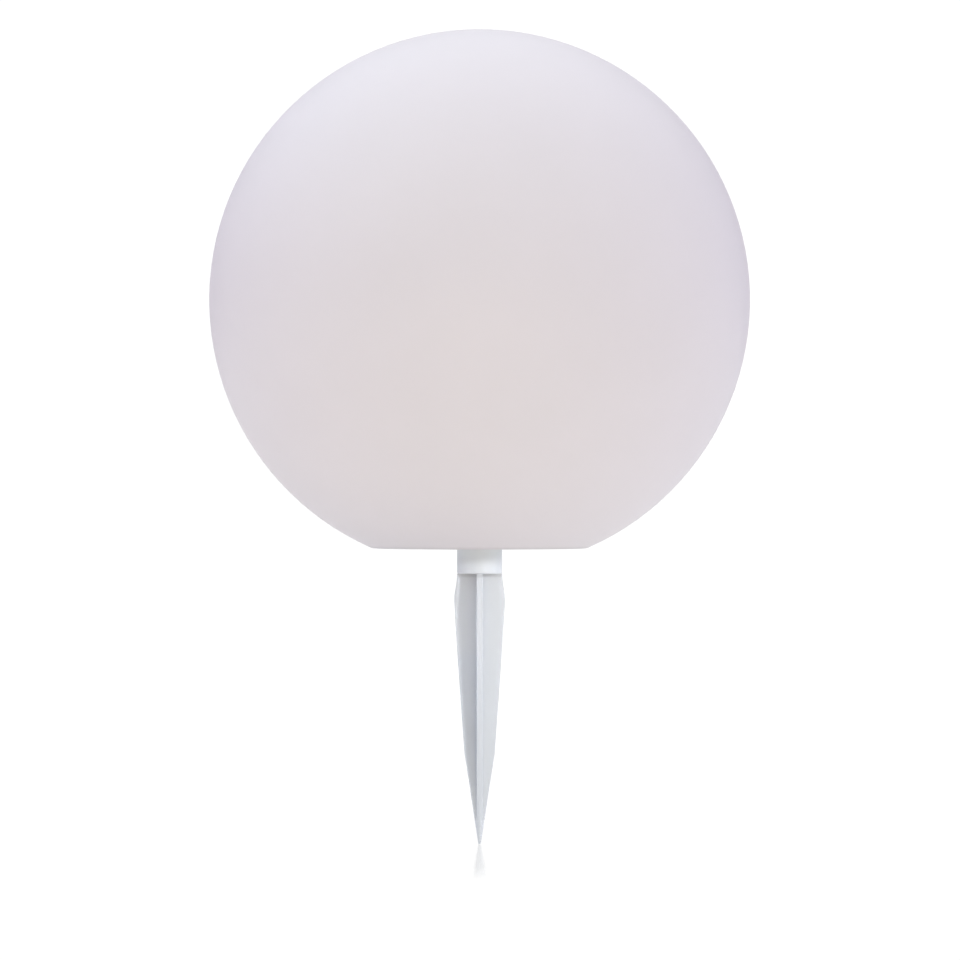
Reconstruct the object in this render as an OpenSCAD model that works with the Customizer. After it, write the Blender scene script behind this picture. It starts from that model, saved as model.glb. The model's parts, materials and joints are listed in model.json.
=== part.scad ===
// Ball light on a ground spike, in millimetres.
// A hollow translucent ball is closed from below by a sealed lamp base, and a four-ribbed
// spike plugs into the base. The base holds a rechargeable cell, a control board with a push
// switch, and on top a solar panel and four warm white lamps that shine up into the ball.
// Z is up, and the origin is on the axis, in the plane of the ball's flat underside.

/* [Ball] */
// Outside diameter of the ball
globe_d = 300; // [270:5:400]
// Wall of the ball
globe_wall = 2.2; // [1.8:0.1:3.2]
// Width of the flat foot ring outside the base plate
foot_w = 3.5; // [3:0.5:8]
// Radius that the edge of the flat is rounded to
foot_edge_r = 6; // [3:1:8]
// Diameter of the screw posts inside the ball
post_d = 7.6; // [7:0.2:8]

/* [Base] */
// Height of the drum above the base plate
drum_h = 41; // [38:0.5:60]
// Wall of the drum and of the spike socket
drum_wall = 2.2; // [1.8:0.1:2.6]
// Width of the base plate's rim outside the drum
rim_w = 9.7; // [9.2:0.1:14]
// Thickness of the base plate
plate_t = 3.4; // [3.2:0.1:5]
// Height of the base plate above the foot ring
plate_z = 1; // [0.8:0.1:3]
// Thickness of the seal between base plate and ball
globe_seal_t = 1; // [0.6:0.1:2]
// Gap round the drum in the ball's neck
neck_gap = 0.5; // [0.3:0.1:1]
// Gap round a part that drops into a recess
fit_gap = 0.3; // [0.2:0.05:0.4]

/* [Cover] */
// Thickness of the cover
cover_t = 2.4; // [2.2:0.1:4]
// Thickness of the seal under the cover
cover_seal_t = 0.8; // [0.5:0.1:1.5]
// Diameter of the clear window over the solar panel
window_d = 64; // [56:1:65]
// Width of the ledge that the window and the panel are glued to
window_ledge_w = 2.5; // [2:0.5:4]
// Thickness of that ledge
window_ledge_t = 0.8; // [0.6:0.1:1.2]
// How far the window stands above the cover
window_proud = 0.2; // [0.1:0.1:0.6]
// Thickness of the solar panel's board
panel_t = 1.6; // [1:0.2:2]
// Number of silicon strips on the panel
strip_count = 5; // [3:1:7]

/* [Lamps] */
// Number of lamps
lamp_count = 4; // [4:4:4]
// Diameter of a lamp's clear lens
lens_d = 7; // [6:0.2:7.2]
// Width of a light-emitting chip
chip_w = 5; // [3:0.5:5]
// Height of a light-emitting chip
chip_h = 1.5; // [1:0.1:1.8]
// Thickness of the lamp board
lamp_board_t = 1.4; // [1:0.2:2]

/* [Spike] */
// Diameter of the collar under the ball
collar_d = 25; // [24:0.5:27]
// Height of the collar below the ball
collar_h = 14; // [8:1:30]
// Length of the ribbed blade below the collar
blade_l = 150; // [120:5:220]
// Greatest width across two ribs
blade_w = 28.2; // [26:0.1:29]
// Distance from the collar down to the greatest width
blade_bulge = 15; // [12:1:24]
// Width across two ribs where the blade starts to sharpen
blade_knee_w = 16.8; // [12:0.2:22]
// Distance from the collar down to where the blade starts to sharpen
blade_knee = 100; // [60:5:110]
// Width across two ribs at the blunt tip
blade_tip_w = 1.4; // [1:0.1:3]
// Thickness of a rib
rib_t = 3.2; // [2.4:0.1:5]
// Diameter of the blade's core, which rounds the corners between the ribs
blade_core_d = 4.8; // [4.6:0.1:6]
// Diameter of the spigot that plugs into the base
spigot_d = 20; // [17:0.5:21]
// Length of the spigot
spigot_l = 30; // [20:1:34]
// Wall of the hollow spigot
spigot_wall = 2.4; // [1.8:0.1:4]
// Gap round the spigot in its socket
socket_gap = 0.1; // [0.05:0.01:0.1]
// Width of the two keys that stop the lamp turning on its spike
key_w = 3; // [2:0.5:4]
// Height of a key above the spigot
key_h = 1.2; // [0.8:0.1:1.5]

/* [Battery] */
// Diameter of the rechargeable cell
cell_d = 14.5; // [10.5:0.5:14.5]
// Length of the cell over its positive cap
cell_l = 50.5; // [44.5:0.5:50.5]
// Diameter of the positive cap
cap_d = 5.5; // [4:0.5:6]
// Height of the positive cap
cap_h = 1.2; // [0.8:0.1:1.5]
// Length of the compressed contact spring
spring_l = 4.8; // [4:0.2:5]
// Thickness of a contact plate
contact_t = 0.5; // [0.3:0.1:0.6]
// Gap round the cell in its bay
bay_gap = 0.25; // [0.2:0.05:0.4]
// Wall of the battery bay
bay_wall = 1.6; // [1.2:0.1:2]
// Gap between the far corners of the cell and its contacts and the bay's wall
bay_corner_gap = 0.4; // [0.3:0.1:2]
// Thickness of the battery door
door_t = 2; // [1.8:0.1:2.2]
// Thickness of the seal above the door
door_seal_t = 0.8; // [0.5:0.1:1]
// Width of the seal above the door
door_seal_w = 2; // [1.5:0.1:2.2]

/* [Switch] */
// Diameter of the push button
button_d = 10; // [8:0.5:12]
// Distance that the button travels
button_travel = 1.5; // [1:0.1:2]
// How far the button stands below the base plate
button_proud = 0.4; // [0.2:0.1:0.6]
// Diameter of the button's stem
stem_d = 6; // [5:0.2:6.4]
// Width of the switch body
switch_w = 8.4; // [7:0.2:10]
// Height of the switch body
switch_h = 8; // [7:0.5:10]
// Diameter of the switch plunger
plunger_d = 3.6; // [2.6:0.2:4]

/* [Electronics] */
// Thickness of the control board
board_t = 1.6; // [1:0.2:2]
// Diameter of a wire over its insulation
wire_d = 1.4; // [1:0.1:1.6]
// Length of a wire connector
connector_l = 7.5; // [6:0.5:9]
// Width of a wire connector
connector_w = 5; // [4:0.5:6]
// Height of a wire connector
connector_h = 5; // [4:0.5:6]

/* [Screws] */
// Diameter of the screws that hold the base in the ball
base_screw_d = 3.4; // [3:0.1:3.6]
// Length of those screws
base_screw_l = 11; // [9:0.5:16]
// Diameter of the screws of the cover, the door and the control board
small_screw_d = 2.8; // [2.4:0.1:3]
// Length of the small screws
small_screw_l = 10; // [8:0.5:12]

/* [Hidden] */
$fn = 72;
part_gap = 0.1;           // gap round a screw or pin in its hole, and round a plug in its seat
overlap = 1;              // how far a cut runs past the face that it opens
skin = 1.4;               // least plastic beyond the end of a blind hole
hole_end = 0.6;           // room beyond a screw's tip in its blind hole
chamfer = 0.6;            // height and width of the chamfer round the cover and the button
screw_count = 4;          // screws of the base, and screws of the cover
diagonal = 45;            // turn of the base screws and the lamps from the X axis
stake_turn = 22.5;        // turn of the lamp board's stakes from the X axis

// Levels, from the foot ring upwards
plate_top = plate_z + plate_t;
seat_z = plate_top + globe_seal_t;
seat_top = seat_z + globe_wall;
rim_z = plate_top + drum_h;
cover_z = rim_z + cover_seal_t;
cover_top = cover_z + cover_t;

// Battery bay, on the -Y side of the socket
cell_r = cell_d / 2;
dimple_h = 0.7;
contact_w = 10;
rib_room = 1.5;           // room that the door leaves beside the ribs as it drops
bay_l = 2 * contact_t + spring_l + cell_l + dimple_h;
bay_w = cell_d + 2 * bay_gap;
door_w = bay_w + 2 * door_seal_w + 2 * fit_gap;
door_l = bay_l + 2 * door_seal_w + 2 * fit_gap;
cell_x = -bay_l / 2 + contact_t + spring_l;
cell_y = -(max(blade_w, collar_d) / 2 + rib_room + door_w / 2);
contact_corner_r = norm([bay_l / 2, contact_w / 2 - cell_y]);
cell_corner_r = norm([cell_x + cell_l - cap_h, cell_r - cell_y]);
bay_need_r = max(contact_corner_r, cell_corner_r) + bay_corner_gap + bay_wall;

// Window, and the ring of lamps outside it
window_r = window_d / 2;
opening_r = window_r - window_ledge_w;
panel_edge = 1;           // how far the panel stays inside the window
panel_r = window_r - panel_edge;
lens_r = lens_d / 2;
lens_flange_w = 0.8;
lens_flange_r = lens_r + lens_flange_w;
lens_flange_t = 0.8;
lens_room = 1.4;          // least room on each side of a lens's flange
lamp_need_r = window_r + 2 * part_gap + 2 * lens_flange_r + 2 * lens_room;

// Radii of the base, which goes round its bay and its lamps, and of the ball and its neck
drum_in_r = max(bay_need_r, lamp_need_r);
drum_r = drum_in_r + drum_wall;
neck_r = drum_r + neck_gap;
plate_r = drum_r + rim_w;
recess_r = plate_r + fit_gap;
flat_r = recess_r + foot_w;
globe_r = globe_d / 2;
globe_z = sqrt(globe_r * globe_r - flat_r * flat_r);
round_x = sqrt(pow(globe_r - foot_edge_r, 2) - pow(globe_z - foot_edge_r, 2));
round_far_x = round_x * globe_r / (globe_r - foot_edge_r);
round_far_z = globe_z - (globe_z - foot_edge_r) * globe_r / (globe_r - foot_edge_r);

// Screws: heads, circles, bosses and hole depths
base_head_r = base_screw_d * 0.94;
small_head_r = small_screw_d * 0.93;
head_h = 1.8;
head_lap = 0.3;           // how far a countersunk head's cone runs into the shank
base_screw_r = (neck_r + recess_r) / 2;
base_hole_top = plate_z + base_screw_l + hole_end;
post_r = post_d / 2;
boss_wall = 2.1;
boss_sink = 0.7;          // how far a boss sinks into the drum's wall
boss_r = small_screw_d / 2 + boss_wall;
boss_circle_r = drum_in_r - boss_r + boss_sink;

// Socket for the spike
spigot_r = spigot_d / 2;
collar_r = collar_d / 2;
collar_edge = 0.5;
spigot_edge_h = 1.5;
spigot_edge_w = 1.2;
spigot_floor = 3;         // solid plastic under the spigot's hollow
socket_r = spigot_r + socket_gap;
socket_mouth = 1.1;       // chamfer at the socket's mouth
key_top = spigot_l * 2 / 3;
key_room = 2;             // room over a key
socket_room = 2;          // room over the spigot
socket_top = plate_z + spigot_l + socket_room;
socket_roof = 2;
socket_wall_r = socket_r + key_h + drum_wall;

// Levels of the bay, and the door with its two ears
bay_limit_r = drum_in_r - bay_wall;
ledge_z = plate_z + door_t + door_seal_t;
ledge_top = max(ledge_z + bay_wall, plate_top + overlap);
cell_z = ledge_z + 2 * bay_gap + cell_r;
bay_top = cell_z + cell_r + 2 * bay_gap;
roof_z = bay_top + bay_wall;
door_lap = 0.6;           // how far the door's corners reach under the drum's wall
door_limit_r = drum_in_r + door_lap;
door_boss_wall = 1.7;
door_boss_r = small_screw_d / 2 + door_boss_wall;
ear_rim = 1.6;            // plastic round a screw's head in an ear
ear_gap = 0.8;
ear_r = small_head_r + ear_rim;
ear_x = door_l / 2 + small_head_r + ear_gap;
ear_y = -sqrt(pow(door_limit_r - ear_r, 2) - ear_x * ear_x);
door_hole_top = plate_z + small_screw_l + hole_end;
groove_l = 16;
groove_w = 1.2;
groove_depth = 0.5;
groove_pitch = 3;
tab_w = 4;
tab_h = 2.4;
tab_top = roof_z + tab_h;

// Switch and control board, on the +Y side of the socket
button_r = button_d / 2;
stem_r = stem_d / 2;
flange_w = 1.4;
flange_r = button_r + flange_w;
flange_t = 1.2;
stroke_room = 0.3;        // room left above the flange at the end of the button's travel
stem_room = 1.3;          // room under the switch, and length of the stem above its seal
seal_z = plate_top + flange_t + button_travel + stroke_room;
seal_t = 1.5;
seal_w = 0.8;             // how far the seal's seat reaches outside the flange
seal_r = flange_r + seal_w;
guide_wall = 1.8;
guide_r = seal_r + guide_wall;
guide_top = seal_z + seal_t;
guide_room = 4;           // distance between the guide and the socket's wall
switch_y = socket_wall_r + guide_r + guide_room;
stem_top = guide_top + stem_room;
switch_z = stem_top + button_travel + stem_room;
board_z = switch_z + switch_h;
board_top = board_z + board_t;
plunger_in = 3.5;         // how far the plunger reaches into the switch at rest
plunger_top = switch_z + plunger_in;
switch_bore_top = plunger_top + button_travel + overlap;
board_gap = 1.4;          // gap between the board and the socket's wall
board_edge = 1;           // gap between the board's edge and the cover's bosses
board_r = boss_circle_r - boss_r - board_edge;
board_near_y = socket_wall_r + board_gap;
board_post_wall = 1.6;
board_post_gap = 9.5;     // distance between the switch's guide and a post of the board
board_post_back = 3;      // how far the posts stand nearer to the socket than the switch
board_post_r = small_screw_d / 2 + board_post_wall;
board_post_x = guide_r + board_post_r + board_post_gap;
board_post_y = switch_y - board_post_back;
connector_y = board_near_y + connector_w;
connector_x = 13;
connector_top = board_top + connector_h;
pin_pitch = 2.5;

// Lamps and their board, under the cover
lamp_circle_r = (window_r + drum_in_r) / 2;
chip_z = cover_z - lens_flange_t - part_gap - chip_h;
lamp_board_room = 2;      // room beside the lamp board, at the drum and at the panel
lamp_board_r = drum_in_r - lamp_board_room;
lamp_board_in_r = panel_r + lamp_board_room;
lamp_board_z = chip_z - lamp_board_t;
lip_r = drum_in_r - fit_gap;
lip_t = 1.1;
lip_h = 1.8;
stake_r = 1.1;
stake_shoulder = 1;
stake_end = 0.8;          // how far a stake stands out below the lamp board

// Wire routes as round numbers, from the board's connectors; each wire adds its own ends
lift = 3;
battery_way = [[25, -8, 27], [22, 8, 30], [8, 17.5, 32]];
panel_way = [[11, 6, 38], [12, 13, 35], [12, 18, 33]];
lamp_way = [[-31, 16, 36], [-23, 18, 34], [-17, 20, 33]];
panel_pad = [10, 3];
lamp_pad_turn = 156;
lamp_pad = (lamp_board_in_r + lamp_board_r) / 2 * [cos(lamp_pad_turn), sin(lamp_pad_turn)];

function unit(v) = v / norm(v);

// Points on a smooth curve through the given points, steps between each two
function smooth(p, steps) = [
    for (i = [0:len(p) - 2], s = [0:steps - 1])
        let (
            t = s / steps, a = p[max(i - 1, 0)], b = p[i], c = p[i + 1],
            d = p[min(i + 2, len(p) - 1)]
        )
        0.5 * (2 * b + (c - a) * t + (2 * a - 5 * b + 4 * c - d) * t * t
            + (3 * b - a - 3 * c + d) * t * t * t),
    p[len(p) - 1]
];

// Direction of a path at each of its points
function directions(p) = [
    for (i = [0:len(p) - 1]) unit(p[min(i + 1, len(p) - 1)] - p[max(i - 1, 0)])
];

// A sideways direction carried along the path without twisting
function carried(dirs, start) = [
    for (i = 0, v = unit(start - (start * dirs[0]) * dirs[0]); i < len(dirs);
        i = i + 1, v = i < len(dirs) ? unit(v - (v * dirs[i]) * dirs[i]) : v) v
];

// A closed round tube along a path, with sides flat faces round it
module tube(path, r, sides, start = [1, 0, 0]) {
    dirs = directions(path);
    across = carried(dirs, start);
    n = len(path);
    points = [
        for (i = [0:n - 1], k = [0:sides - 1])
            let (a = 360 * k / sides)
            path[i] + r * (cos(a) * across[i] + sin(a) * cross(dirs[i], across[i]))
    ];
    walls = [
        for (i = [0:n - 2], k = [0:sides - 1])
            let (a = i * sides + k, b = i * sides + (k + 1) % sides)
            each [[a, a + sides, b], [b, a + sides, b + sides]]
    ];
    first = [for (k = [1:sides - 2]) [0, k, k + 1]];
    last = [for (k = [1:sides - 2]) [(n - 1) * sides, (n - 1) * sides + k + 1, (n - 1) * sides + k]];
    polyhedron(points, concat(walls, first, last));
}

// Puts a copy of its children at each of count places round a circle
module round_circle(count, r, first = 0) {
    for (i = [0:count - 1])
        rotate([0, 0, first + 360 * i / count])
            translate([r, 0, 0])
                children();
}

// A cross-shaped driver recess, cut upwards from z = 0
module cross_recess(size) {
    for (turn = [0, 90])
        rotate([0, 0, turn])
            translate([-size / 2, -size / 8, -overlap])
                cube([size, size / 4, overlap + size / 4]);
}

// A countersunk screw that points up, with its head's face at z = 0
module countersunk_screw(d, head_r, l) {
    difference() {
        union() {
            cylinder(h = head_r - d / 2 + head_lap, r1 = head_r, r2 = d / 2 - head_lap);
            cylinder(h = l - d / 2, d = d);
            translate([0, 0, l - d / 2])
                cylinder(h = d / 2, r1 = d / 2, r2 = d / 8);
        }
        cross_recess(head_r);
    }
}

// The hole for a countersunk screw, cut upwards from z = 0
module countersunk_hole(d, head_r, l) {
    r = d / 2 + part_gap;
    translate([0, 0, -overlap])
        cylinder(h = l + overlap, r = r);
    translate([0, 0, -overlap])
        cylinder(h = overlap + part_gap, r = head_r + part_gap);
    translate([0, 0, part_gap])
        cylinder(h = head_r - d / 2 + head_lap, r1 = head_r + part_gap, r2 = d / 2 - head_lap + part_gap);
}

// A pan head screw that points down, with its head on the plane z = 0
module pan_screw(d, head_r, l) {
    difference() {
        union() {
            cylinder(h = head_h * 0.6, r = head_r);
            translate([0, 0, head_h * 0.6])
                cylinder(h = head_h * 0.4, r1 = head_r, r2 = head_r * 0.7);
            translate([0, 0, d / 2 - l])
                cylinder(h = l - d / 2, d = d);
            translate([0, 0, -l])
                cylinder(h = d / 2, r1 = d / 8, r2 = d / 2);
        }
        translate([0, 0, head_h])
            mirror([0, 0, 1])
                cross_recess(head_r);
    }
}

// Half of the ball's section, as it is turned about the axis
module globe_section() {
    slope = round_far_z / (round_far_x - round_x);
    outside_x = globe_r * 1.1;
    difference() {
        union() {
            intersection() {
                translate([0, globe_z])
                    circle(r = globe_r);
                polygon([
                    [0, 0], [round_x, 0], [outside_x, (outside_x - round_x) * slope],
                    [outside_x, 2.2 * globe_r], [0, 2.2 * globe_r]
                ]);
            }
            translate([round_x, foot_edge_r])
                circle(r = foot_edge_r);
        }
        intersection() {
            translate([0, globe_z])
                circle(r = globe_r - globe_wall);
            translate([0, seat_top])
                square([globe_r, 2 * globe_r]);
        }
        translate([0, -overlap])
            square([recess_r, overlap + seat_z]);
        translate([0, -overlap])
            square([neck_r, overlap + seat_top + overlap]);
    }
}

module globe() {
    color("whitesmoke")
        difference() {
            union() {
                rotate_extrude($fn = 144)
                    globe_section();
                round_circle(screw_count, base_screw_r, diagonal)
                    translate([0, 0, seat_z])
                        cylinder(h = base_hole_top + skin - seat_z, r = post_r);
            }
            round_circle(screw_count, base_screw_r, diagonal)
                translate([0, 0, seat_z - overlap])
                    cylinder(h = base_hole_top - seat_z + overlap, d = base_screw_d + 2 * part_gap);
        }
}

module globe_seal() {
    color("gainsboro")
        translate([0, 0, plate_top])
            difference() {
                cylinder(h = globe_seal_t, r = plate_r);
                translate([0, 0, -overlap])
                    cylinder(h = globe_seal_t + 2 * overlap, r = drum_r + fit_gap);
                round_circle(screw_count, base_screw_r, diagonal)
                    translate([0, 0, -overlap])
                        cylinder(h = globe_seal_t + 2 * overlap, d = base_screw_d + 4 * part_gap);
            }
}

module base_screws() {
    color("silver")
        round_circle(screw_count, base_screw_r, diagonal)
            translate([0, 0, plate_z])
                countersunk_screw(base_screw_d, base_head_r, base_screw_l);
}

// The battery bay's outline, grown outwards by grow and kept inside the radius limit
module bay_outline(grow, limit) {
    intersection() {
        translate([-bay_l / 2 - grow, cell_y - bay_w / 2 - grow])
            square([bay_l + 2 * grow, bay_w + 2 * grow]);
        circle(r = limit);
    }
}

// The battery door's outline, grown outwards by grow
module door_outline(grow) {
    bay_outline(door_seal_w + fit_gap + grow, door_limit_r + grow);
    for (side = [-1, 1]) {
        translate([side * ear_x, ear_y])
            circle(r = ear_r + grow);
        translate([side * ear_x / 2, ear_y])
            square([ear_x, 2 * (ear_r + grow)], center = true);
    }
}

module base_solid() {
    translate([0, 0, plate_z])
        cylinder(h = plate_t, r = plate_r);
    translate([0, 0, plate_z])
        difference() {
            cylinder(h = rim_z - plate_z, r = drum_r);
            cylinder(h = rim_z, r = drum_in_r);
        }
    translate([0, 0, plate_z])
        cylinder(h = socket_top + socket_roof - plate_z, r = socket_wall_r);
    translate([0, 0, plate_z])
        linear_extrude(ledge_top - plate_z)
            bay_outline(door_seal_w + 2 * bay_wall, drum_in_r + overlap);
    translate([0, 0, plate_z])
        linear_extrude(roof_z - plate_z)
            bay_outline(bay_wall, drum_in_r + overlap);
    for (side = [-1, 1]) {
        translate([side * ear_x, ear_y, plate_z])
            cylinder(h = door_hole_top + skin - plate_z, r = door_boss_r);
        translate([side * board_post_x, board_post_y, plate_z])
            cylinder(h = board_z - plate_z, r = board_post_r);
    }
    round_circle(screw_count, boss_circle_r)
        translate([0, 0, plate_z])
            cylinder(h = cover_z - plate_z, r = boss_r);
    translate([0, switch_y, plate_z])
        cylinder(h = guide_top - plate_z, r = guide_r);
}

module socket_cut() {
    translate([0, 0, plate_z - overlap])
        cylinder(h = socket_top - plate_z + overlap, r = socket_r);
    translate([0, 0, plate_z - part_gap])
        cylinder(h = socket_mouth + part_gap, r1 = socket_r + socket_mouth, r2 = socket_r - part_gap);
    translate([-socket_r - key_h, -key_w / 2 - 2 * part_gap, plate_z - overlap])
        cube([2 * (socket_r + key_h), key_w + 4 * part_gap, key_top + key_room + overlap]);
}

module bay_cut() {
    translate([0, 0, plate_z - overlap])
        linear_extrude(ledge_z - plate_z + overlap)
            bay_outline(door_seal_w + 2 * fit_gap, door_limit_r + fit_gap);
    translate([0, 0, plate_z - overlap])
        linear_extrude(door_t + overlap)
            door_outline(fit_gap);
    translate([0, 0, plate_z])
        linear_extrude(bay_top - plate_z)
            bay_outline(0, bay_limit_r);
    for (side = [-1, 1]) {
        translate([side * ear_x, ear_y, plate_z])
            cylinder(h = door_hole_top - plate_z, d = small_screw_d + 2 * part_gap);
        translate([side * (bay_l / 2 - contact_t / 2), cell_y, bay_top])
            cube([contact_t + 2 * part_gap, tab_w + 2 * part_gap, 4 * bay_wall], center = true);
    }
}

module switch_cut() {
    translate([0, switch_y, plate_z - overlap])
        cylinder(h = plate_t + 2 * overlap, r = button_r + 2 * part_gap);
    translate([0, switch_y, plate_top])
        cylinder(h = guide_top, r = flange_r + fit_gap);
    translate([0, switch_y, seal_z])
        cylinder(h = guide_top, r = seal_r);
}

module base_housing() {
    color("white")
        difference() {
            base_solid();
            socket_cut();
            bay_cut();
            switch_cut();
            round_circle(screw_count, base_screw_r, diagonal)
                translate([0, 0, plate_z])
                    countersunk_hole(base_screw_d, base_head_r, plate_t + overlap);
            round_circle(screw_count, boss_circle_r)
                translate([0, 0, cover_top - small_screw_l - hole_end])
                    cylinder(h = small_screw_l + 2 * overlap, d = small_screw_d + 2 * part_gap);
            for (side = [-1, 1])
                translate([side * board_post_x, board_post_y, board_top - small_screw_l - hole_end])
                    cylinder(h = small_screw_l + 2 * overlap, d = small_screw_d + 2 * part_gap);
        }
}

module battery_door() {
    color("white")
        difference() {
            translate([0, 0, plate_z])
                linear_extrude(door_t)
                    door_outline(0);
            for (side = [-1, 1])
                translate([side * ear_x, ear_y, plate_z])
                    countersunk_hole(small_screw_d, small_head_r, door_t + overlap);
            for (groove = [-1:1])
                translate([0, cell_y + groove_pitch * groove, plate_z])
                    cube([groove_l, groove_w, 2 * groove_depth], center = true);
        }
}

module battery_door_seal() {
    color("dimgray")
        translate([0, 0, plate_z + door_t])
            linear_extrude(door_seal_t)
                difference() {
                    bay_outline(door_seal_w, door_limit_r - fit_gap);
                    bay_outline(0, bay_limit_r);
                }
}

module battery_door_screws() {
    color("silver")
        for (side = [-1, 1])
            translate([side * ear_x, ear_y, plate_z])
                countersunk_screw(small_screw_d, small_head_r, small_screw_l);
}

module battery_cell() {
    edge_h = 1;
    edge_r = cell_r - 0.8;
    color("mediumseagreen")
        translate([cell_x, cell_y, cell_z])
            rotate([0, 90, 0])
                union() {
                    cylinder(h = edge_h, r1 = edge_r, r2 = cell_r);
                    translate([0, 0, edge_h])
                        cylinder(h = cell_l - cap_h - 2 * edge_h, r = cell_r);
                    translate([0, 0, cell_l - cap_h - edge_h])
                        cylinder(h = edge_h, r1 = cell_r, r2 = edge_r);
                    cylinder(h = cell_l, d = cap_d);
                }
}

// A contact's plate and the tab that passes up through the bay's roof
module contact_plate() {
    inset = 1;
    translate([-contact_t / 2, -contact_w / 2, inset - cell_r])
        cube([contact_t, contact_w, 2 * (cell_r - inset)]);
    translate([-contact_t / 2, -tab_w / 2, 0])
        cube([contact_t, tab_w, tab_top - cell_z]);
}

module battery_spring_contact() {
    turns = 3;
    steps = 16;
    wire_r = 0.4;
    wide_r = 5;
    narrow_r = 2.6;
    run = spring_l - 2 * wire_r;
    rise = 0.75;
    coil = [
        for (i = [0:turns * steps])
            let (s = i / (turns * steps), r = wide_r + (narrow_r - wide_r) * s)
            [wire_r * rise + (run + wire_r * (1 - rise)) * s, r * cos(360 * i / steps), r * sin(360 * i / steps)]
    ];
    color("silver")
        translate([-bay_l / 2, cell_y, cell_z]) {
            translate([contact_t / 2, 0, 0])
                contact_plate();
            translate([contact_t, 0, 0])
                tube(coil, wire_r, 6, [1, 0, 0]);
        }
}

module battery_plate_contact() {
    dimple_r = 2.4;
    dimple_tip_r = 1.6;
    color("silver")
        translate([bay_l / 2 - contact_t / 2, cell_y, cell_z]) {
            contact_plate();
            translate([-contact_t / 2 - dimple_h, 0, 0])
                rotate([0, 90, 0])
                    cylinder(h = dimple_h + contact_t / 2, r1 = dimple_tip_r, r2 = dimple_r);
        }
}

module control_board() {
    color("darkgreen")
        difference() {
            translate([0, 0, board_z])
                linear_extrude(board_t)
                    intersection() {
                        circle(r = board_r);
                        translate([-board_r, board_near_y])
                            square([2 * board_r, board_r]);
                    }
            for (side = [-1, 1])
                translate([side * board_post_x, board_post_y, board_z - overlap])
                    cylinder(h = board_t + 2 * overlap, d = small_screw_d + 4 * part_gap);
        }
}

// The driver chip, capacitor, choke and two small parts, each at its place beside the switch's axis
module control_parts() {
    chip = [5, 4, 1.5];
    small_part = [3, 1.6, 1];
    capacitor_r = 2.5;
    capacitor_h = 6.5;
    choke_r = 2.8;
    choke_h = 4;
    color("black")
        translate([0, switch_y, board_top]) {
            translate([5, 1, 0])
                cube(chip);
            translate([-9, 3, 0])
                cylinder(h = capacitor_h, r = capacitor_r);
            translate([-1, -1, 0])
                cylinder(h = choke_h, r = choke_r);
            translate([12.5, 1, 0])
                cube(small_part);
            translate([-16.5, 0, 0])
                cube(small_part);
        }
}

module wire_connectors() {
    color("ivory")
        for (i = [-1:1])
            translate([i * connector_x, connector_y, board_top + connector_h / 2])
                cube([connector_l, connector_w, connector_h], center = true);
}

module board_screws() {
    color("silver")
        for (side = [-1, 1])
            translate([side * board_post_x, board_post_y, board_top])
                pan_screw(small_screw_d, small_head_r, small_screw_l);
}

module push_switch() {
    color("dimgray")
        difference() {
            translate([-switch_w / 2, switch_y - switch_w / 2, switch_z])
                cube([switch_w, switch_w, switch_h]);
            translate([0, switch_y, switch_z - overlap])
                cylinder(h = switch_bore_top - switch_z + overlap, d = plunger_d + 2 * part_gap);
        }
}

module switch_plunger() {
    color("firebrick")
        translate([0, switch_y, stem_top])
            cylinder(h = plunger_top - stem_top, d = plunger_d);
}

module switch_button() {
    color("lightgray")
        translate([0, switch_y, 0])
            union() {
                translate([0, 0, plate_z - button_proud])
                    cylinder(h = chamfer, r1 = button_r - chamfer, r2 = button_r);
                translate([0, 0, plate_z - button_proud + chamfer])
                    cylinder(h = plate_t + button_proud - chamfer, r = button_r);
                translate([0, 0, plate_top])
                    cylinder(h = flange_t, r = flange_r);
                translate([0, 0, plate_top])
                    cylinder(h = stem_top - plate_top, r = stem_r);
            }
}

module switch_seal() {
    color("dimgray")
        translate([0, switch_y, seal_z])
            difference() {
                cylinder(h = seal_t, r = seal_r - part_gap);
                translate([0, 0, -overlap])
                    cylinder(h = seal_t + 2 * overlap, r = stem_r + part_gap);
            }
}

module module_cover() {
    color("white")
        difference() {
            union() {
                translate([0, 0, cover_z])
                    cylinder(h = cover_t - chamfer, r = drum_r);
                translate([0, 0, cover_top - chamfer])
                    cylinder(h = chamfer, r1 = drum_r, r2 = drum_r - chamfer);
                translate([0, 0, cover_z - lip_h])
                    difference() {
                        cylinder(h = lip_h + overlap, r = lip_r);
                        translate([0, 0, -overlap])
                            cylinder(h = lip_h + overlap, r = lip_r - lip_t);
                        round_circle(screw_count, boss_circle_r)
                            translate([0, 0, -overlap])
                                cylinder(h = lip_h + overlap, r = boss_r + fit_gap);
                    }
                round_circle(screw_count, lamp_circle_r, stake_turn) {
                    translate([0, 0, chip_z])
                        cylinder(h = cover_z - chip_z + overlap, r = stake_r + stake_shoulder);
                    translate([0, 0, lamp_board_z - stake_end])
                        cylinder(h = chip_z - lamp_board_z + overlap, r = stake_r);
                }
            }
            translate([0, 0, cover_z - overlap])
                cylinder(h = cover_t + 2 * overlap, r = opening_r);
            translate([0, 0, cover_z + window_ledge_t])
                cylinder(h = cover_t, r = window_r + 2 * part_gap);
            round_circle(lamp_count, lamp_circle_r, diagonal)
                translate([0, 0, cover_z - overlap])
                    cylinder(h = cover_t + 2 * overlap, r = lens_r + part_gap);
            round_circle(screw_count, boss_circle_r)
                translate([0, 0, cover_z - overlap])
                    cylinder(h = cover_t + 2 * overlap, d = small_screw_d + 4 * part_gap);
        }
}

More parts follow.
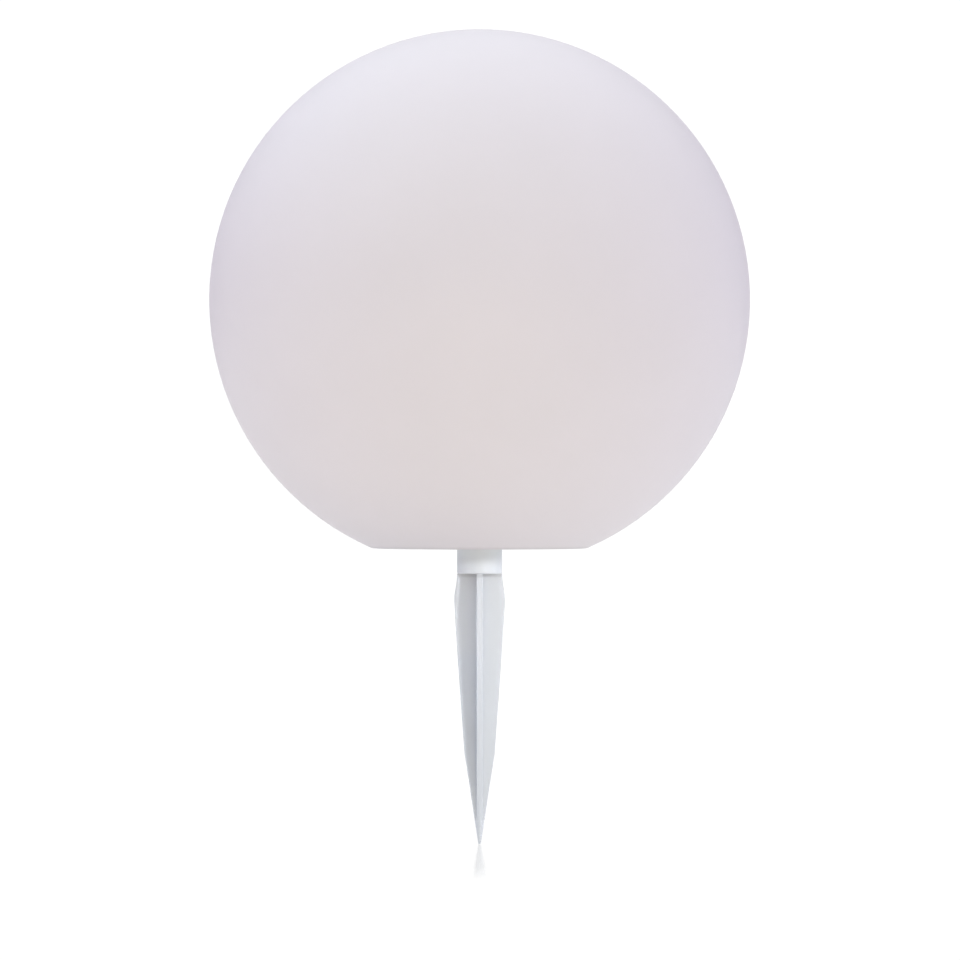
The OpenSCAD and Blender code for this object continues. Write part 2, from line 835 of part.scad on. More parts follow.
module cover_seal() {
    color("dimgray")
        translate([0, 0, rim_z])
            difference() {
                cylinder(h = cover_seal_t, r = drum_r);
                translate([0, 0, -overlap])
                    cylinder(h = cover_seal_t + 2 * overlap, r = drum_in_r);
                round_circle(screw_count, boss_circle_r)
                    translate([0, 0, -overlap])
                        cylinder(h = cover_seal_t + 2 * overlap, r = boss_r + part_gap);
            }
}

module cover_screws() {
    color("silver")
        round_circle(screw_count, boss_circle_r)
            translate([0, 0, cover_top])
                pan_screw(small_screw_d, small_head_r, small_screw_l);
}

module panel_board() {
    color("darkgreen")
        translate([0, 0, cover_z - panel_t])
            cylinder(h = panel_t, r = panel_r);
}

module solar_strips() {
    strip_r = opening_r - panel_edge;
    strip_gap = 0.4;
    pitch = 2 * strip_r / strip_count;
    color("midnightblue")
        intersection() {
            translate([0, 0, cover_z])
                cylinder(h = window_ledge_t / 2, r = strip_r);
            for (i = [0:strip_count - 1])
                translate([-strip_r + pitch * i + strip_gap / 2, -strip_r, cover_z])
                    cube([pitch - strip_gap, 2 * strip_r, window_ledge_t]);
        }
}

module panel_window() {
    color("lightblue")
        translate([0, 0, cover_z + window_ledge_t])
            union() {
                cylinder(h = cover_t - window_ledge_t, r = window_r);
                translate([0, 0, cover_t - window_ledge_t])
                    cylinder(h = window_proud, r1 = window_r, r2 = window_r - window_proud);
            }
}

module lamp_board() {
    color("darkgreen")
        translate([0, 0, lamp_board_z])
            difference() {
                cylinder(h = lamp_board_t, r = lamp_board_r);
                translate([0, 0, -overlap])
                    cylinder(h = lamp_board_t + 2 * overlap, r = lamp_board_in_r);
                round_circle(screw_count, boss_circle_r)
                    translate([0, 0, -overlap])
                        cylinder(h = lamp_board_t + 2 * overlap, r = boss_r + fit_gap);
                round_circle(screw_count, lamp_circle_r, stake_turn)
                    translate([0, 0, -overlap])
                        cylinder(h = lamp_board_t + 2 * overlap, r = stake_r + part_gap);
            }
}

module lamp_chips() {
    color("gold")
        round_circle(lamp_count, lamp_circle_r, diagonal)
            translate([0, 0, chip_z + chip_h / 2])
                cube([chip_w, chip_w, chip_h], center = true);
}

module lamp_lenses() {
    dome_proud = 0.4;
    dome_r = lens_r * 1.1;
    dome_drop = sqrt(dome_r * dome_r - lens_r * lens_r);
    color("lightyellow")
        round_circle(lamp_count, lamp_circle_r, diagonal) {
            translate([0, 0, cover_z - lens_flange_t])
                cylinder(h = lens_flange_t, r = lens_flange_r);
            intersection() {
                translate([0, 0, cover_z - lens_flange_t])
                    cylinder(h = cover_t + lens_flange_t + 2 * lens_r, r = lens_r);
                translate([0, 0, cover_top + dome_proud - dome_drop])
                    union() {
                        sphere(r = dome_r);
                        translate([0, 0, -2 * cover_t - 2 * lens_flange_t])
                            cylinder(h = 2 * cover_t + 2 * lens_flange_t, r = dome_r - 0.05);
                    }
            }
        }
}

// One wire from a point through its way to a connector's pin, straight at both ends
module wire(from, up, way, pin_x) {
    ends = [connector_y, connector_top];
    path = concat(
        [from, from + [0, 0, up * lift / 2], from + [0, 0, up * lift]],
        way,
        [for (k = [2, 1, 0]) [pin_x, ends[0], ends[1] + k * lift / 2]]
    );
    tube(smooth(path, 3), wire_d / 2, 8, [0, 1, 0]);
}

function shifted(way, by) = [for (p = way) p + by];
function mirrored(way) = [for (p = way) [-p[0], p[1], p[2]]];

module red_wires() {
    color("red") {
        wire([bay_l / 2 - contact_t / 2, cell_y, tab_top], 1, battery_way, pin_pitch / 2);
        wire([panel_pad[0] + pin_pitch, panel_pad[1], cover_z - panel_t], -1,
            shifted(panel_way, [pin_pitch, 0, 0]), connector_x + pin_pitch / 2);
        wire([lamp_pad[0], lamp_pad[1] + pin_pitch, lamp_board_z], -1,
            shifted(lamp_way, [pin_pitch / 2, pin_pitch, pin_pitch / 2]), -connector_x + pin_pitch / 2);
    }
}

module black_wires() {
    color("black") {
        wire([-bay_l / 2 + contact_t / 2, cell_y, tab_top], 1, mirrored(battery_way), -pin_pitch / 2);
        wire([panel_pad[0], panel_pad[1], cover_z - panel_t], -1,
            panel_way, connector_x - pin_pitch / 2);
        wire([lamp_pad[0], lamp_pad[1], lamp_board_z], -1,
            lamp_way, -connector_x - pin_pitch / 2);
    }
}

// The blade's outline as half widths and heights: a bulge, a slow taper, then a straight point
function blade_outline(bulge_steps, taper_steps) =
    let (wide = blade_w / 2, narrow = blade_knee_w / 2)
    concat(
        [
            for (i = [0:bulge_steps - 1])
                let (t = i / bulge_steps)
                [wide - (wide - collar_r) * (1 + cos(180 * t)) / 2, -blade_bulge * t]
        ],
        [
            for (i = [0:taper_steps])
                let (t = i / taper_steps)
                [wide - (wide - narrow) * pow(t, 1.1), -blade_bulge - (blade_knee - blade_bulge) * t]
        ],
        [[blade_tip_w / 2, -blade_l]]
    );

module spike_blade() {
    intersection() {
        rotate_extrude()
            polygon(concat([[0, 0]], blade_outline(10, 8), [[0, -blade_l]]));
        union() {
            for (turn = [0, 90])
                rotate([0, 0, turn])
                    translate([-blade_w, -rib_t / 2, -blade_l - overlap])
                        cube([2 * blade_w, rib_t, blade_l + overlap]);
            translate([0, 0, -blade_l - overlap])
                cylinder(h = blade_l + overlap, d = blade_core_d);
        }
    }
}

module ground_spike() {
    color("ghostwhite")
        difference() {
            union() {
                translate([0, 0, -collar_h])
                    spike_blade();
                translate([0, 0, -collar_h])
                    cylinder(h = collar_edge, r1 = collar_r - collar_edge, r2 = collar_r);
                translate([0, 0, collar_edge - collar_h])
                    cylinder(h = collar_h + plate_z - collar_edge, r = collar_r);
                translate([0, 0, plate_z])
                    cylinder(h = spigot_l - spigot_edge_h, r = spigot_r);
                translate([0, 0, plate_z + spigot_l - spigot_edge_h])
                    cylinder(h = spigot_edge_h, r1 = spigot_r, r2 = spigot_r - spigot_edge_w);
                translate([-spigot_r - key_h + part_gap, -key_w / 2, plate_z])
                    cube([2 * (spigot_r + key_h - part_gap), key_w, key_top]);
            }
            translate([0, 0, plate_z + spigot_floor])
                cylinder(h = spigot_l, r = spigot_r - spigot_wall);
        }
}

globe();
base_housing();
globe_seal();
base_screws();
battery_door();
battery_door_seal();
battery_door_screws();
battery_cell();
battery_spring_contact();
battery_plate_contact();
control_board();
control_parts();
wire_connectors();
board_screws();
push_switch();
switch_plunger();
switch_button();
switch_seal();
module_cover();
cover_seal();
cover_screws();
panel_board();
solar_strips();
panel_window();
lamp_board();
lamp_chips();
lamp_lenses();
red_wires();
black_wires();
ground_spike();
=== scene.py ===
import json
import math

import bpy
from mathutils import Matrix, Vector


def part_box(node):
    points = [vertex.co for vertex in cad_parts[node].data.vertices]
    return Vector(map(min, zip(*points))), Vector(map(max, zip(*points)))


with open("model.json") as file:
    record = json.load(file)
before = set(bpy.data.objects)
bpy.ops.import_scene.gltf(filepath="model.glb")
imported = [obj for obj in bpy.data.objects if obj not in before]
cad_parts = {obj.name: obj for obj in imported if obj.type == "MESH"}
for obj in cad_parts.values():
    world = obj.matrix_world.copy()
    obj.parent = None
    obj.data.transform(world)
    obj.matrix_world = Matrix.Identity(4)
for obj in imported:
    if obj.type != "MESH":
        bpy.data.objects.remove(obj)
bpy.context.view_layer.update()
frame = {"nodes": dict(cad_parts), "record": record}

NODES = frame["nodes"]

# Places that the CAD nodes give, in metres
BALL_LOW, BALL_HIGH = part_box("globe")
BALL_R = (BALL_HIGH.x - BALL_LOW.x) / 2
BALL_Z = BALL_HIGH.z - BALL_R
TIP_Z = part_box("ground_spike")[0].z
# The underside of the spike's collar, where its ribbed blade starts
COLLAR_HEIGHT = 0.014
COLLAR_LOW_Z = BALL_LOW.z - COLLAR_HEIGHT

# The photograph's view: a level long lens a little above the ball's flat underside
CAMERA_DISTANCE = 2.5
CAMERA_HEIGHT = 0.030
PHOTO_SIZE = 960
PIXELS_PER_METRE = 1800.5
BALL_PIXEL = (479.6, 300.4)
SENSOR_WIDTH = 36.0


def make_camera():
    """A camera that puts the ball's centre where the photograph has it, at the photograph's scale."""
    data = bpy.data.cameras.new("photo_camera")
    focal_pixels = PIXELS_PER_METRE * CAMERA_DISTANCE
    middle = PHOTO_SIZE / 2
    data.sensor_width = SENSOR_WIDTH
    data.lens = focal_pixels / PHOTO_SIZE * SENSOR_WIDTH
    data.clip_start = 0.05
    data.clip_end = 100.0
    camera = bpy.data.objects.new("photo_camera", data)
    sideways = (middle - BALL_PIXEL[0]) / PIXELS_PER_METRE
    camera.location = (sideways, -CAMERA_DISTANCE, CAMERA_HEIGHT)
    ball_above = math.atan2(BALL_Z - CAMERA_HEIGHT, CAMERA_DISTANCE)
    ball_in_frame = math.atan2(middle - BALL_PIXEL[1], focal_pixels)
    camera.rotation_euler = (math.radians(90) + ball_above - ball_in_frame, 0, 0)
    bpy.context.scene.collection.objects.link(camera)
    bpy.context.scene.camera = camera


make_camera()


# Materials

# The colour of painted shade in a seam
PAINTED_SHADE = (0.10, 0.09, 0.10)


class Nodes:
    """Short names for building one material's node tree. Positions are in the row frame, in metres."""

    def __init__(self, name):
        self.material = bpy.data.materials.new(name)
        self.material.use_nodes = True
        self.tree = self.material.node_tree
        self.tree.nodes.clear()
        self.output = self.tree.nodes.new("ShaderNodeOutputMaterial")
        self.place = self.tree.nodes.new("ShaderNodeTexCoord").outputs["Object"]

    def add(self, kind, **values):
        node = self.tree.nodes.new(kind)
        for key, value in values.items():
            setattr(node, key, value)
        return node

    def link(self, a, b):
        self.tree.links.new(a, b)

    def shader(self, color=None, roughness=None, normal=None, **sockets):
        """A Principled shader. Each argument is a plain value or another node's output."""
        node = self.add("ShaderNodeBsdfPrincipled")
        sockets.update({"Base Color": color, "Roughness": roughness, "Normal": normal})
        for name, value in sockets.items():
            if value is None:
                continue
            if isinstance(value, bpy.types.NodeSocket):
                self.link(value, node.inputs[name])
            else:
                node.inputs[name].default_value = value
        return node.outputs[0]

    def finish(self, surface):
        self.link(surface, self.output.inputs["Surface"])
        return self.material

    def stretched(self, x, y, z):
        """Positions scaled along each axis, for grain that runs one way."""
        node = self.add("ShaderNodeMapping")
        node.inputs["Scale"].default_value = (x, y, z)
        self.link(self.place, node.inputs["Vector"])
        return node.outputs[0]

    def noise(self, scale, detail=3.0, roughness=0.5, at=None):
        node = self.add("ShaderNodeTexNoise")
        node.inputs["Scale"].default_value = scale
        node.inputs["Detail"].default_value = detail
        node.inputs["Roughness"].default_value = roughness
        self.link(at or self.place, node.inputs["Vector"])
        return node.outputs[0]

    def cells(self, scale):
        node = self.add("ShaderNodeTexVoronoi")
        node.inputs["Scale"].default_value = scale
        self.link(self.place, node.inputs["Vector"])
        return node.outputs["Distance"]

    def spread(self, value, low, high, start=0.0, end=1.0):
        """Maps a 0 to 1 value to low to high, between start and end."""
        node = self.add("ShaderNodeMapRange")
        self.link(value, node.inputs["Value"])
        node.inputs["From Min"].default_value = start
        node.inputs["From Max"].default_value = end
        node.inputs["To Min"].default_value = low
        node.inputs["To Max"].default_value = high
        return node.outputs[0]

    def math(self, operation, a, b=0.0):
        node = self.add("ShaderNodeMath", operation=operation)
        for socket, value in zip(node.inputs, (a, b)):
            if isinstance(value, bpy.types.NodeSocket):
                self.link(value, socket)
            else:
                socket.default_value = value
        return node.outputs[0]

    def blend(self, amount, a, b):
        """Mixes two colours by a 0 to 1 value."""
        node = self.add("ShaderNodeMix", data_type="RGBA")
        self.link(amount, node.inputs["Factor"])
        for socket, value in zip((node.inputs[6], node.inputs[7]), (a, b)):
            if isinstance(value, bpy.types.NodeSocket):
                self.link(value, socket)
            else:
                socket.default_value = (*value, 1.0)
        return node.outputs[2]

    def glow(self, color):
        node = self.add("ShaderNodeEmission")
        node.inputs["Color"].default_value = (*color, 1.0)
        return node.outputs[0]

    def layers(self, amount, a, b):
        """Mixes two shaders by a 0 to 1 value, plain or another node's output."""
        node = self.add("ShaderNodeMixShader")
        if isinstance(amount, bpy.types.NodeSocket):
            self.link(amount, node.inputs["Fac"])
        else:
            node.inputs["Fac"].default_value = amount
        self.link(a, node.inputs[1])
        self.link(b, node.inputs[2])
        return node.outputs[0]

    def bump(self, height, strength, distance, below=None):
        node = self.add("ShaderNodeBump")
        node.inputs["Strength"].default_value = strength
        node.inputs["Distance"].default_value = distance
        self.link(height, node.inputs["Height"])
        if below is not None:
            self.link(below, node.inputs["Normal"])
        return node.outputs[0]

    def axis(self, name):
        node = self.add("ShaderNodeSeparateXYZ")
        self.link(self.place, node.inputs[0])
        return node.outputs[name]

    def painted_shade_line(self, color, height, width, amount):
        """A colour darkened unevenly in a thin level line: painted shade, where shadow falls in a
        seam.
        """
        away = self.math("ABSOLUTE", self.math("SUBTRACT", self.axis("Z"), height))
        line = self.spread(away, amount, 0.0, width * 0.3, width)
        patches = self.spread(self.noise(90.0), 0.7, 1.0, 0.35, 0.65)
        return self.blend(self.math("MULTIPLY", line, patches), color, PAINTED_SHADE)


def frosted_ball():
    """Rotation-moulded translucent polyethylene: cloudy, satin, with a faint orange peel."""
    n = Nodes("frosted_polyethylene")
    cloud = n.noise(14.0, 4.0, 0.6)
    fine = n.noise(900.0, 2.0)
    peel = n.noise(160.0, 2.0)
    color = n.blend(n.spread(cloud, 0, 1, 0.3, 0.7), (0.798, 0.752, 0.785), (0.812, 0.766, 0.800))
    # Painted shade along the ball's bottom edge, where its underside turns away from the light
    color = n.painted_shade_line(color, BALL_LOW.z, 0.0016, 0.16)
    normal = n.bump(peel, 0.12, 0.0004, n.bump(fine, 0.10, 0.0001))
    solid = n.shader(color, n.spread(cloud, 0.40, 0.50), normal, **{"Specular IOR Level": 0.25})
    through = n.add("ShaderNodeBsdfTranslucent")
    n.link(color, through.inputs["Color"])
    n.link(normal, through.inputs["Normal"])
    return n.finish(n.layers(0.35, solid, through.outputs[0]))


def moulded_plastic(
    name, color, other, grain=1400.0, roughness=(0.32, 0.46), flow=(1, 1, 1), painted_shade_z=None,
):
    """Injection-moulded plastic: a fine spark-eroded grain, faint flow clouds and uneven gloss."""
    n = Nodes(name)
    cloud = n.noise(35.0, 3.0, 0.55, n.stretched(*flow))
    pits = n.cells(grain)
    fine = n.noise(grain * 1.7, 2.0)
    normal = n.bump(pits, 0.16, 0.00005, n.bump(fine, 0.1, 0.00003))
    shade = n.blend(n.spread(cloud, 0, 1, 0.25, 0.75), color, other)
    # Optionally a thin level line of painted shade at the given height
    if painted_shade_z is not None:
        shade = n.painted_shade_line(shade, painted_shade_z, 0.0014, 0.22)
    rough = n.spread(cloud, *roughness)
    return n.finish(n.shader(shade, rough, normal, **{"Specular IOR Level": 0.45}))


def rubber():
    n = Nodes("grey_rubber")
    cloud = n.noise(60.0, 4.0)
    normal = n.bump(n.noise(1800.0, 3.0), 0.25, 0.00008)
    shade = n.blend(cloud, (0.055, 0.055, 0.058), (0.085, 0.085, 0.088))
    return n.finish(n.shader(shade, n.spread(cloud, 0.62, 0.8), normal))


def steel(name, color, roughness):
    n = Nodes(name)
    cloud = n.noise(220.0, 3.0)
    lines = n.noise(900.0, 2.0, 0.5, n.stretched(1, 1, 14))
    shade = n.blend(cloud, color, tuple(c * 0.82 for c in color))
    normal = n.bump(lines, 0.12, 0.00004)
    return n.finish(n.shader(shade, n.spread(lines, *roughness), normal, Metallic=1.0))


def circuit_board():
    """Green varnished laminate with faint copper tracks under the varnish."""
    n = Nodes("green_laminate")
    tracks = n.add("ShaderNodeTexBrick")
    tracks.offset = 0.37
    tracks.inputs["Scale"].default_value = 240.0
    tracks.inputs["Mortar Size"].default_value = 0.09
    tracks.inputs["Color1"].default_value = (0, 0, 0, 1)
    tracks.inputs["Color2"].default_value = (0, 0, 0, 1)
    tracks.inputs["Mortar"].default_value = (1, 1, 1, 1)
    n.link(n.place, tracks.inputs["Vector"])
    shade = n.blend(tracks.outputs["Color"], (0.012, 0.13, 0.045), (0.03, 0.22, 0.08))
    normal = n.bump(tracks.outputs["Color"], 0.2, 0.00004)
    return n.finish(n.shader(shade, n.spread(n.noise(80.0), 0.22, 0.34), normal))


# The solar cells' silver lines: two bars, and fingers that cover a share of their spacing
SOLAR_BAR_Y = 0.014
SOLAR_BAR_HALF_WIDTH = 0.0007
SOLAR_FINGERS_PER_METRE = 500.0
SOLAR_FINGER_SHARE = 0.12


def solar_cells():
    """Dark blue silicon under thin raised silver fingers and two wider bars."""
    n = Nodes("solar_silicon")
    along = n.math("FRACT", n.math("MULTIPLY", n.axis("Y"), SOLAR_FINGERS_PER_METRE))
    fingers = n.math("LESS_THAN", along, SOLAR_FINGER_SHARE)
    off_bar = n.math("SUBTRACT", n.math("ABSOLUTE", n.axis("Y")), SOLAR_BAR_Y)
    bars = n.math("LESS_THAN", n.math("ABSOLUTE", off_bar), SOLAR_BAR_HALF_WIDTH)
    silver = n.math("MAXIMUM", fingers, bars)
    crystals = n.cells(180.0)
    blue = n.blend(crystals, (0.010, 0.016, 0.060), (0.022, 0.034, 0.110))
    shade = n.blend(silver, blue, (0.45, 0.46, 0.48))
    normal = n.bump(n.math("MAXIMUM", silver, n.spread(crystals, 0.0, 0.3)), 0.15, 0.00004)
    rough = n.spread(silver, 0.22, 0.4)
    return n.finish(n.shader(shade, rough, normal, **{"Specular IOR Level": 0.25}))


def clear_cover():
    n = Nodes("clear_plastic")
    shade = n.blend(n.noise(30.0), (0.90, 0.94, 0.95), (0.94, 0.96, 0.97))
    normal = n.bump(n.noise(120.0), 0.03, 0.0002)
    return n.finish(n.shader(shade, 0.06, normal, IOR=1.36, **{"Transmission Weight": 0.95}))


# Brightness of the lamps' lenses beside the studio light
LAMP_STRENGTH = 0.9


def lit_lens():
    """A clear lens with the warm light of its chip in it."""
    n = Nodes("clear_lens")
    shade = n.blend(n.noise(300.0), (0.95, 0.86, 0.66), (0.98, 0.90, 0.72))
    return n.finish(
        n.shader(shade, 0.12, n.bump(n.noise(500.0), 0.04, 0.0001), IOR=1.45, **{
            "Transmission Weight": 0.7,
            "Emission Color": (1.0, 0.66, 0.34, 1.0), "Emission Strength": LAMP_STRENGTH,
        })
    )


def phosphor():
    n = Nodes("lamp_phosphor")
    shade = n.blend(n.noise(900.0), (0.9, 0.68, 0.16), (0.95, 0.76, 0.25))
    return n.finish(n.shader(shade, 0.4, n.bump(n.noise(2500.0), 0.2, 0.00005)))


def battery_skin():
    """Green shrink wrap between bare steel ends, with a darker band at the positive end."""
    n = Nodes("battery_wrap")
    low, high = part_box("battery_cell")
    along = n.axis("X")
    bare_end = 0.0017
    band_width = 0.009
    past_low_end = n.math("GREATER_THAN", along, low.x + bare_end)
    before_high_end = n.math("LESS_THAN", along, high.x - 1.8 * bare_end)
    wrap = n.math("MULTIPLY", past_low_end, before_high_end)
    band = n.math("GREATER_THAN", along, high.x - band_width)
    creases = n.noise(500.0, 3.0, 0.5, n.stretched(6, 1, 1))
    green = n.blend(band, (0.02, 0.23, 0.09), (0.05, 0.06, 0.06))
    shade = n.blend(wrap, (0.72, 0.71, 0.69), green)
    metal = n.math("SUBTRACT", 1.0, wrap)
    normal = n.bump(creases, 0.08, 0.00006)
    return n.finish(n.shader(shade, n.spread(creases, 0.22, 0.34), normal, Metallic=metal))


def insulation(name, color):
    n = Nodes(name)
    cloud = n.noise(240.0)
    shade = n.blend(cloud, color, tuple(c * 0.75 for c in color))
    rough = n.spread(cloud, 0.35, 0.5)
    normal = n.bump(n.noise(2400.0), 0.1, 0.00004)
    return n.finish(n.shader(shade, rough, normal))


# Painted shadow a millimetre below the collar, where the collar's overhang shades the blade
SPIKE_PAINTED_SHADE_Z = COLLAR_LOW_Z - 0.001

SLOT_MATERIALS = {
    "frosted_polyethylene": frosted_ball(),
    "white_plastic": moulded_plastic("white_plastic", (0.60, 0.60, 0.62), (0.64, 0.64, 0.655)),
    "spike_plastic": moulded_plastic(
        "spike_plastic", (0.56, 0.58, 0.62), (0.595, 0.61, 0.645),
        roughness=(0.40, 0.52), flow=(2, 2, 0.4), painted_shade_z=SPIKE_PAINTED_SHADE_Z,
    ),
    "grey_plastic": moulded_plastic("grey_plastic", (0.36, 0.37, 0.39), (0.41, 0.42, 0.44)),
    "ivory_plastic": moulded_plastic("ivory_plastic", (0.72, 0.68, 0.55), (0.76, 0.72, 0.60), 900.0),
    "red_plastic": moulded_plastic("red_plastic", (0.42, 0.02, 0.015), (0.48, 0.03, 0.02), 900.0),
    "black_component": moulded_plastic(
        "black_component", (0.012, 0.012, 0.013), (0.022, 0.022, 0.024), 1200.0, (0.4, 0.6),
    ),
    "grey_rubber": rubber(),
    "stainless_steel": steel("stainless_steel", (0.62, 0.61, 0.60), (0.22, 0.4)),
    "nickelled_steel": steel("nickelled_steel", (0.72, 0.70, 0.66), (0.14, 0.3)),
    "green_laminate": circuit_board(),
    "solar_silicon": solar_cells(),
    "clear_plastic": clear_cover(),
    "clear_lens": lit_lens(),
    "lamp_phosphor": phosphor(),
    "battery_wrap": battery_skin(),
    "red_insulation": insulation("red_insulation", (0.55, 0.02, 0.015)),
    "black_insulation": insulation("black_insulation", (0.02, 0.02, 0.022)),
}


# How far a node's edges are rounded, in metres. Zero only joins its faces.
EDGE_ROUNDING = {
    "globe": 0.0,
    "lamp_lenses": 0.0,
    "ground_spike": 0.00035,
    "base_housing": 0.00025,
    "module_cover": 0.00025,
    "battery_door": 0.00025,
    "switch_button": 0.00015,
    "push_switch": 0.00015,
    "wire_connectors": 0.0002,
    "control_parts": 0.00012,
    "battery_cell": 0.0002,
}


# How near two points are joined, and how a rounded edge is made
WELD_REACH = 0.000001
EDGE_STEPS = 2
SHARP_FROM = math.radians(40)


def dress_nodes():
    """Gives every CAD node its slot's material, and those in EDGE_ROUNDING slightly rounded edges."""
    for subpart in frame["record"]["subparts"]:
        ob = NODES[subpart["node"]]
        ob.data.materials.clear()
        ob.data.materials.append(SLOT_MATERIALS[subpart["material_slot"]])
    for name, width in EDGE_ROUNDING.items():
        modifiers = NODES[name].modifiers
        modifiers.new("joined_faces", "WELD").merge_threshold = WELD_REACH
        if width:
            bevel = modifiers.new("rounded_edges", "BEVEL")
            bevel.width = width
            bevel.segments = EDGE_STEPS
            bevel.limit_method = "ANGLE"
            bevel.angle_limit = SHARP_FROM
        modifiers.new("even_shading", "WEIGHTED_NORMAL").keep_sharp = True


dress_nodes()


# The studio

# The room's light by where it comes from: its colour, and for each axis of its direction, where it
# starts and where it is full
ROOM_LIGHTS = {
    "overhead": ((1.59, 1.64, 1.60), {"Z": (0.1, 0.9)}),
    "overhead_left": ((1.05, 1.30, 1.46), {"Z": (0.1, 0.9), "X": (0.0, -0.6)}),
    "right": ((0.96, 0.93, 1.29), {"Z": (0.9, 0.1), "X": (0.2, 1.0)}),
    "left": ((0.22, 0.03, 0.23), {"Z": (0.9, 0.1), "X": (-0.2, -1.0)}),
    "front": ((0.17, 0.28, 0.25), {"Z": (0.9, 0.1), "Y": (-0.2, -1.0)}),
    "backdrop": ((1.22, 1.22, 1.22), {"Y": (0.93, 0.985)}),
}
# What the camera sees of the room and the floor
WHITE = (1.06, 1.06, 1.06)
# What the floor gives off and reflects to the part
FLOOR_LIGHT = (0.510, 0.510, 0.462)
FLOOR_SHADE = 0.55
# The floor's mirror image of the spike's tip, which fades as the view gets steeper
FLOOR_GLOSS = 0.62
FLOOR_GLOSS_POWER = 5.0
FLOOR_ROUGHNESS = 0.13
# Distances from the origin over which the floor's gloss fades out
FLOOR_GLOSS_ENDS = (0.22, 0.30)
FLOOR_HALF = 6.0
FLOOR_Z = TIP_Z - 0.0002
# The ends of the dark card that shades the spike's left, and its top
CARD_NEAR = (-0.03, -0.13)
CARD_FAR = (-0.14, -0.04)
CARD_TOP_Z = -0.065


def make_stage():
    """A white floor at the spike's tip, glossy at a low angle, and a dark card left of the spike."""
    n = Nodes("pale_floor")
    shade = n.blend(n.noise(3.0), (FLOOR_SHADE,) * 3, (FLOOR_SHADE * 1.03,) * 3)
    matte = n.add("ShaderNodeBsdfDiffuse")
    n.link(shade, matte.inputs["Color"])
    glow = n.glow(FLOOR_LIGHT)
    lit = n.add("ShaderNodeAddShader")
    n.link(matte.outputs[0], lit.inputs[0])
    n.link(glow, lit.inputs[1])
    camera_ray = n.add("ShaderNodeLightPath").outputs["Is Camera Ray"]
    seen = n.layers(camera_ray, lit.outputs[0], n.glow(WHITE))
    gloss = n.add("ShaderNodeBsdfGlossy")
    gloss.inputs["Roughness"].default_value = FLOOR_ROUGHNESS
    low_angle = n.add("ShaderNodeLayerWeight").outputs["Facing"]
    amount = n.math("MULTIPLY", n.math("POWER", low_angle, FLOOR_GLOSS_POWER), FLOOR_GLOSS)
    away = n.add("ShaderNodeVectorMath", operation="LENGTH")
    n.link(n.place, away.inputs[0])
    amount = n.math("MULTIPLY", amount, n.spread(away.outputs["Value"], 1.0, 0.0, *FLOOR_GLOSS_ENDS))
    surface = n.layers(amount, seen, gloss.outputs[0])
    half, z = FLOOR_HALF, FLOOR_Z
    corners = [(-half, -half, z), (half, -half, z), (half, half, z), (-half, half, z)]
    flat("floor", corners, n.finish(surface))

    n = Nodes("dark_blue_card")
    shade = n.blend(n.noise(8.0), (0.03, 0.05, 0.22), (0.04, 0.06, 0.24))
    corners = [(*CARD_NEAR, z), (*CARD_FAR, z), (*CARD_FAR, CARD_TOP_Z), (*CARD_NEAR, CARD_TOP_Z)]
    card = flat("shade_card", corners, n.finish(n.shader(shade, 0.9)))
    card.visible_camera = False
    card.visible_glossy = False


def flat(name, corners, material):
    """A four-cornered sheet of the stage."""
    mesh = bpy.data.meshes.new(name)
    mesh.from_pydata(corners, [], [(0, 1, 2, 3)])
    mesh.materials.append(material)
    ob = bpy.data.objects.new(name, mesh)
    bpy.context.scene.collection.objects.link(ob)
    return ob


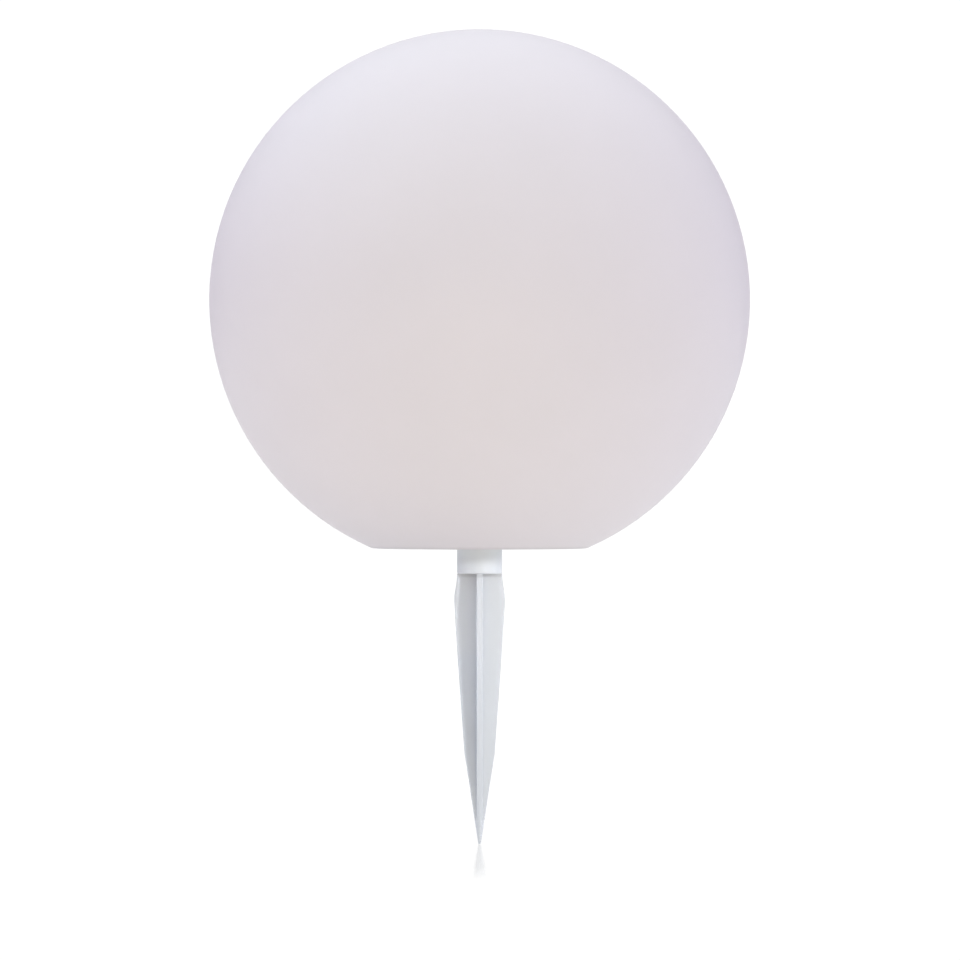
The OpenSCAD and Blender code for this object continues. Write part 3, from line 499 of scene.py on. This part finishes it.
def make_world():
    """A room that looks white to the camera, and lights the part as ROOM_LIGHTS says."""
    world = bpy.data.worlds.new("white_room")
    world.use_nodes = True
    tree = world.node_tree
    tree.nodes.clear()

    def add(kind, **values):
        node = tree.nodes.new(kind)
        for key, value in values.items():
            setattr(node, key, value)
        return node

    def fill(node, *values):
        for socket, value in zip(node.inputs, values):
            if isinstance(value, bpy.types.NodeSocket):
                tree.links.new(value, socket)
            else:
                socket.default_value = value
        return node.outputs[0]

    parts = add("ShaderNodeSeparateXYZ")
    tree.links.new(add("ShaderNodeTexCoord").outputs["Generated"], parts.inputs[0])
    total = (0.0, 0.0, 0.0)
    for color, limits in ROOM_LIGHTS.values():
        amount = 1.0
        for name, (start, full) in limits.items():
            ramp = add("ShaderNodeMapRange", interpolation_type="SMOOTHSTEP")
            part = fill(ramp, parts.outputs[name], start, full)
            amount = fill(add("ShaderNodeMath", operation="MULTIPLY"), part, amount)
        one = add("ShaderNodeVectorMath", operation="SCALE")
        one.inputs[0].default_value = color
        tree.links.new(amount, one.inputs["Scale"])
        total = fill(add("ShaderNodeVectorMath", operation="ADD"), one.outputs[0], total)
    lit, seen = add("ShaderNodeBackground"), add("ShaderNodeBackground")
    tree.links.new(total, lit.inputs["Color"])
    seen.inputs["Color"].default_value = (*WHITE, 1.0)
    background = add("ShaderNodeMixShader")
    camera_ray = add("ShaderNodeLightPath").outputs["Is Camera Ray"]
    fill(background, camera_ray, lit.outputs[0], seen.outputs[0])
    output = add("ShaderNodeOutputWorld")
    tree.links.new(background.outputs[0], output.inputs["Surface"])
    bpy.context.scene.world = world


def softbox(name, place, target, size, power, color, spread=180.0, only=None):
    """A rectangular lamp aimed at a point. It lights everything, or only the node that is named."""
    data = bpy.data.lights.new(name, "AREA")
    data.shape = "RECTANGLE"
    data.size, data.size_y = size
    data.energy = power
    data.color = color
    data.spread = math.radians(spread)
    light = bpy.data.objects.new(name, data)
    light.location = place
    light.rotation_euler = (Vector(target) - Vector(place)).to_track_quat("-Z", "Y").to_euler()
    bpy.context.scene.collection.objects.link(light)
    if only:
        lit = bpy.data.collections.new(name + "_lights")
        lit.objects.link(NODES[only])
        light.light_linking.receiver_collection = lit


make_world()
make_stage()
softbox(
    "warm_low_strip", (0, -1.1, -0.12), (0, 0, 0.08), (0.9, 0.06),
    power=1.22, color=(1.0, 0.55, 0.0),
)
softbox(
    "spike_light", (0.45, -0.55, 0.10), (0, 0, -0.030), (0.06, 0.06),
    power=0.14, color=(0.95, 0.97, 1.0), spread=50.0, only="ground_spike",
)
softbox(
    "spike_left_light", (-0.45, -0.55, 0.10), (0, 0, -0.040), (0.06, 0.06),
    power=0.0055, color=(0.85, 0.92, 1.0), spread=12.0, only="ground_spike",
)

bpy.context.scene.view_settings.view_transform = "Standard"
